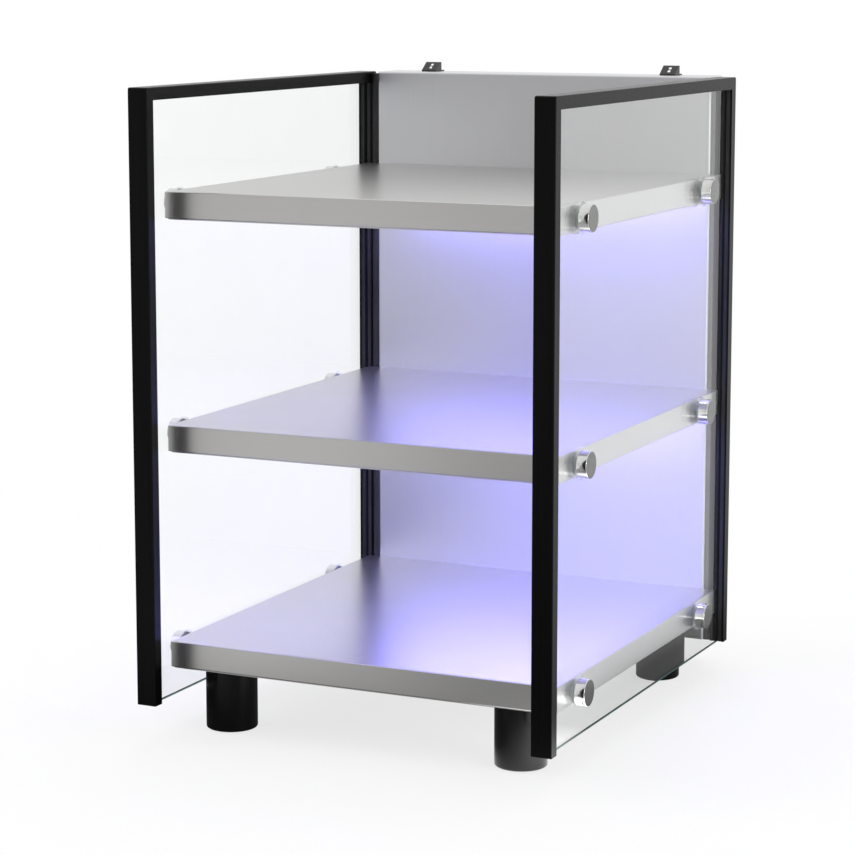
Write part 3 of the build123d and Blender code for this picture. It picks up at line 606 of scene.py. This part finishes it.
def make_screws(node, axis, outward, sizes, finish, tree):
    """The screws of one node, with their heads outward along an axis."""
    points, facing = [], []
    direction = [0.0, 0.0, 0.0]
    direction[axis] = outward
    for low, high in solids_of(node):
        point = (low + high) / 2
        outer = high[axis] if outward > 0 else low[axis]
        point[axis] = outer - outward * sizes["Height"]
        points.append(tuple(point))
        facing.append(tuple(direction))
    name = node.replace("screws", "cross_head_screws")
    piece = placed_pieces(name, tree, sizes, finish, points, facing, crease=35.0)
    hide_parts(node)
    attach(piece, "cabinet")


def make_all_screws(finish):
    """The visible screws: at the back, under the shelves, in the mains inlet and in the top lugs."""
    tree = screw_tree()
    along_y, along_z = 1, 2
    long_screw = dict(small_screw, **{"Shank length": long_shank})
    make_screws("rear_cover_screws", along_y, 1.0, small_screw, finish, tree)
    make_screws("shelf_cover_screws", along_z, -1.0, small_screw, finish, tree)
    make_screws("inlet_screws", along_y, 1.0, long_screw, finish, tree)
    make_screws("lug_screws", along_z, 1.0, tiny_screw, finish, tree)


def make_side_seals(finish):
    """Soft rubber strips with a round front, in the gaps between the rear box and its channels."""
    box_low, box_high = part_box("rear_box")
    rear_low, rear_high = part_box("right_rear_channel")
    inner, outer = box_high.x, rear_low.x
    half, middle = (outer - inner) / 2, (outer + inner) / 2
    setback, depth, bottom_gap, top_gap = 0.0010, 0.0060, 0.0005, 0.0010
    shoulder, back = rear_low.y + setback, rear_low.y + depth
    low, high = box_low.z + bottom_gap, rear_high.z - top_gap
    bulge, steps = 0.0012, 16
    outline = [(outer, back), (inner, back)]
    for step in range(steps + 1):
        angle = math.pi * step / steps
        outline.append((middle - half * math.cos(angle), shoulder - bulge * math.sin(angle)))
    points, faces, count = [], [], len(outline)
    for side in (-1.0, 1.0):
        first = len(points)
        ring = outline if side > 0 else outline[::-1]
        points += [(side * x, y, z) for z in (low, high) for x, y in ring]
        lower, upper = range(first, first + count), range(first + count, first + 2 * count)
        faces += [tuple(reversed(lower)), tuple(upper)]
        faces += [(lower[i], lower[(i + 1) % count], upper[(i + 1) % count], upper[i]) for i in range(count)]
    mesh = bpy.data.meshes.new("side_gap_seals")
    mesh.from_pydata(points, [], faces)
    mesh.materials.append(finish)
    piece = add_piece("side_gap_seals", mesh, crease=40.0)
    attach(piece, "cabinet")


# Studio

def make_camera():
    """The photograph's view: from the right, just above the top of the cabinet."""
    looking_down, turned = 0.1485, 0.4387
    data = bpy.data.cameras.new("photo_view")
    data.sensor_width = 36.0
    data.lens = 112.949
    data.shift_y = -0.0602
    data.clip_start = 0.05
    data.clip_end = 60.0
    camera = bpy.data.objects.new("photo_view", data)
    camera.location = (0.7774, -1.7035, 0.5141)
    camera.rotation_euler = (math.pi / 2 - looking_down, 0.0, turned)
    bpy.context.scene.collection.objects.link(camera)
    bpy.context.scene.camera = camera


def bounced_rays(nodes, rays):
    """Two switches from the Light Path node: seen straight or through glass alone, and after a mirror bounce."""
    half_a_bounce = 0.5
    mirrored = nodes.calc("GREATER_THAN", rays["Glossy Depth"], half_a_bounce)
    scattered = nodes.calc("GREATER_THAN", rays["Diffuse Depth"], half_a_bounce)
    ahead = nodes.calc("MAXIMUM", rays["Is Camera Ray"], rays["Is Transmission Ray"])
    unbounced = nodes.calc("SUBTRACT", 1.0, nodes.calc("MAXIMUM", mirrored, scattered))
    return nodes.calc("MULTIPLY", ahead, unbounced), mirrored


def mirrored_floor(finish):
    """How bright the floor is where polished pieces mirror it: dim by the cabinet, with bands of light.

    Each tuple is a ramp: the level before it, the level after it, where it starts and where it ends.
    """
    x, y = finish.axis("X"), finish.axis("Y")

    # Brighter to the right, with a step beside the cabinet, and brighter far away
    right_rise, right_step = (0.02, 0.22, -0.25, 0.20), (0.0, 0.66, 0.20, 0.26)
    far_rise, far_fade = (0.0, 0.42, 0.5, 2.4), (1.0, 0.4, -0.2, 0.4)
    right = finish.calc("ADD", finish.span(x, *right_rise), finish.span(x, *right_step))
    far = finish.calc("MULTIPLY", finish.span(finish.distance(), *far_rise), finish.span(x, *far_fade))

    # A soft band in front, which rises and falls across a slanting line
    line_slant, line_start = 0.467, 0.084
    tent_rise, tent_fall, front_end = (0.03, 0.78, -0.13, 0.13), (0.0, 0.62, 0.13, 0.27), (1.0, 0.0, -0.38, -0.2)
    across = finish.calc("SUBTRACT", finish.calc("MULTIPLY_ADD", y, line_slant, line_start), x)
    tent = finish.calc("SUBTRACT", finish.span(across, *tent_rise), finish.span(across, *tent_fall))
    front = finish.calc("MULTIPLY", tent, finish.span(y, *front_end))

    # A bright band on the right, at the depth of the front feet
    band_place, band_fall = -0.15, (3.2, 0.0, 0.0, 0.12)
    band_start, band_end = (0.0, 1.0, 0.05, 0.15), (1.0, 0.0, 0.26, 0.40)
    window = finish.calc("MULTIPLY", finish.span(x, *band_start), finish.span(x, *band_end))
    band = finish.calc("MULTIPLY", finish.span(finish.apart(y, band_place), *band_fall), window)

    # Dimmer far to the right, which only the right side mirrors
    away_slant, away_dim = -1.6, (0.5, 1.0, -1.0, -0.2)
    away = finish.calc("MULTIPLY_ADD", x, away_slant, finish.calc("ABSOLUTE", y))
    level = finish.calc("MULTIPLY", finish.calc("ADD", right, far), finish.span(away, *away_dim))
    return finish.calc("ADD", level, finish.calc("ADD", front, band))


def make_floor():
    """A pale floor that fades to plain white away from the cabinet."""
    mesh = bpy.data.meshes.new("studio_floor")
    reach = 14.0
    mesh.from_pydata([(-reach, -reach, 0), (reach, -reach, 0), (reach, reach, 0), (-reach, reach, 0)],
                     [], [(0, 1, 2, 3)])
    floor = bpy.data.objects.new("studio_floor", mesh)
    bpy.context.scene.collection.objects.link(floor)
    finish = Finish("pale_floor", roughness=0.9, specular_ior_level=0.1)
    finish.colour(finish.mottled(finish.noise(finish.evenly(), 3.0), grey(0.90), grey(0.93)))
    near_whiteness, far_whiteness, fade_start, fade_end = 0.75, 1.0, 0.3, 0.9
    fade = finish.span(finish.distance(), near_whiteness, far_whiteness, fade_start, fade_end)
    straight, mirrored = bounced_rays(finish, finish.node("ShaderNodeLightPath").outputs)
    seen = finish.calc("MAXIMUM", finish.calc("MULTIPLY", fade, straight), mirrored)
    dimming = finish.calc("SUBTRACT", mirrored_floor(finish), 1.0)
    light = finish.node("ShaderNodeEmission", {
        "Color": white, "Strength": finish.calc("MULTIPLY_ADD", mirrored, dimming, 1.0)})
    finish.show(finish.mix_shaders(seen, finish.shader.outputs["BSDF"], light.outputs["Emission"]))
    mesh.materials.append(finish.material)


def make_air():
    """White where it is seen, and a soft even light. Mirrored, it is dimmer in front of the cabinet."""
    world = bpy.data.worlds.new("studio_air")
    bpy.context.scene.world = world
    world.use_nodes = True
    air = Nodes(world.node_tree)
    air.tree.nodes.clear()
    soft_level, past_glass_level = 0.55, 0.85
    front_to_rear = (0.42, 0.95, -0.9, 0.2)
    towards = air.parts(air.node("ShaderNodeTexCoord").outputs["Generated"])
    rays = air.node("ShaderNodeLightPath").outputs
    straight, mirrored = bounced_rays(air, rays)
    past_glass = air.calc("MULTIPLY", mirrored, rays["Is Transmission Ray"])
    open_air = air.calc("MULTIPLY", air.span(towards["Y"], *front_to_rear),
                        air.calc("SUBTRACT", mirrored, past_glass))
    soft = air.calc("MULTIPLY", soft_level, air.calc("SUBTRACT", air.calc("SUBTRACT", 1.0, straight), mirrored))
    strength = air.calc("ADD", air.calc("ADD", straight, soft),
                        air.calc("MULTIPLY_ADD", past_glass, past_glass_level, open_air))
    light = air.node("ShaderNodeBackground", {"Color": white, "Strength": air.calc("MAXIMUM", strength, 0.0)})
    air.node("ShaderNodeOutputWorld", {"Surface": light.outputs[0]})


def make_lamp(name, place, aim, width, height, power):
    """A soft rectangular lamp, which neither the camera nor a ray through glass sees."""
    data = bpy.data.lights.new(name, "AREA")
    data.shape = "RECTANGLE"
    data.size = width
    data.size_y = height
    data.energy = power
    lamp = bpy.data.objects.new(name, data)
    lamp.location = place
    lamp.rotation_mode = "QUATERNION"
    lamp.rotation_quaternion = (Vector(aim) - Vector(place)).to_track_quat("-Z", "Y")
    lamp.visible_camera = False
    lamp.visible_transmission = False
    bpy.context.scene.collection.objects.link(lamp)
    return lamp


def make_lamps():
    """Three softboxes that metal doesn't mirror, a strip that it does, and the strip lights' glow in two bays."""
    middle = (0.0, 0.0, 0.22)
    softboxes = (("left_softbox", (-2.6, -0.9, 2.0), 1.6, 1.6, 34.0),
                 ("right_softbox", (2.6, -0.6, 1.5), 1.4, 1.8, 18.0),
                 ("overhead_softbox", (0.0, 0.5, 2.6), 2.0, 1.6, 26.0))
    for name, place, width, height, power in softboxes:
        make_lamp(name, place, middle, width, height, power).visible_glossy = False
    make_lamp("edge_strip", (2.4, -1.02, 0.5), middle, 0.35, 1.4, 14.0)
    glow_x, glow_front, glow_rear, glow_width, glow_height = -0.085, -0.165, 0.13, 0.43, 0.10
    for bay, level, power in (("middle", 0.280, 0.12), ("bottom", 0.122, 0.28)):
        glow = make_lamp(bay + "_bay_glow", (glow_x, glow_front, level), (glow_x, glow_rear, level),
                         glow_width, glow_height, power)
        glow.data.color = light_colour[:3]


shelf_steel = brushed_steel("brushed_shelf_steel", steel_colour, steel_light, grain="X", rough=0.30)
box_steel = brushed_steel("satin_box_steel", panel_colour, panel_light, grain="Z", rough=0.42)
zinc = zinc_plate()
seal_rubber = moulded("black_seal_rubber", grey(0.014), grey(0.024), rough=0.6, grain_scale=1500.0)
foot_plastic = moulded("gloss_foot_plastic", grey(0.0015), grey(0.003), rough=0.22, grain_scale=2600.0,
                       depth=0.000004, shine=0.32)
control_plastic = moulded("gloss_switch_plastic", grey(0.012), grey(0.02), rough=0.22, grain_scale=1800.0,
                          depth=0.00001)
red_key = moulded("red_switch_key", (0.36, 0.012, 0.010, 1.0), (0.50, 0.025, 0.018, 1.0), rough=0.18,
                  grain_scale=700.0, depth=0.00001, coat=0.6)
green_key = moulded("green_switch_key", (0.015, 0.20, 0.055, 1.0), (0.03, 0.30, 0.09, 1.0), rough=0.18,
                    grain_scale=700.0, depth=0.00001, coat=0.6)
driver_plastic = moulded("pale_driver_case", (0.70, 0.70, 0.68, 1.0), (0.80, 0.80, 0.78, 1.0), rough=0.5,
                         grain_scale=1600.0)
terminal_plastic = moulded("natural_terminal_plastic", (0.62, 0.60, 0.54, 1.0), (0.74, 0.72, 0.66, 1.0),
                           rough=0.45, grain_scale=900.0)
inlet_plastic = moulded("matt_inlet_plastic", grey(0.012), grey(0.02), rough=0.45, grain_scale=2200.0)
pad_rubber = moulded("foot_pad_rubber", grey(0.022), grey(0.036), rough=0.72, grain_scale=1300.0, depth=0.00006)
bar_low, bar_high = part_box("top_light_diffuser")
chip_pitch = (bar_high.x - bar_low.x) / chips_along_strip

finishes = [
    (black_anodised(), [side + bar for side in ("left_", "right_")
                        for bar in ("front_channel", "top_channel", "rear_channel")]),
    (side_glass(), ["left_glass", "right_glass"]),
    (seal_rubber, ["left_gasket", "right_gasket", "lead_grommets"]),
    (clear_plastic(), ["outer_washers", "inner_washers"]),
    (shelf_steel, [level + part for level in ("top_", "middle_", "bottom_") for part in ("shelf", "shelf_cover")]),
    (box_steel, ["rear_box", "rear_cover"]),
    (silicone_mat(), ["top_heater", "middle_heater", "bottom_heater"]),
    (mineral_felt(), ["top_insulation", "middle_insulation", "bottom_insulation"]),
    (zinc, ["heat_limiters", "shelf_weld_nuts", "cap_studs", "foot_screws", "foot_nuts", "box_screws", "box_nuts"]),
    (foot_plastic, ["front_left_foot", "front_right_foot", "rear_left_foot", "rear_right_foot"]),
    (inlet_plastic, ["mains_inlet"]),
    (nickel_pin(), ["inlet_pins"]),
    (control_plastic, ["heat_switch_body", "light_switch_body"]),
    (red_key, ["heat_switch_rocker"]),
    (green_key, ["light_switch_rocker"]),
    (driver_plastic, ["light_driver"]),
    (terminal_plastic, ["terminal_block"]),
    (extruded_aluminium(), ["top_light_profile", "middle_light_profile"]),
    (lit_diffuser(chip_pitch), ["top_light_diffuser", "middle_light_diffuser"]),
    (powder_coat(), ["left_lug", "right_lug"]),
]
for material, nodes in finishes:
    for node in nodes:
        dress(node, material)
for level in ("top", "middle"):
    strip_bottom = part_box(level + "_light_strip")[0].z
    dress(level + "_light_strip", chip_board(level + "_chip_board", strip_bottom + chip_height))
make_caps(polished_cap())
make_foot_pads(pad_rubber)
make_all_screws(zinc)
make_side_seals(seal_rubber)

bpy.context.scene.view_settings.view_transform = "Standard"
make_camera()
make_floor()
make_air()
make_lamps()
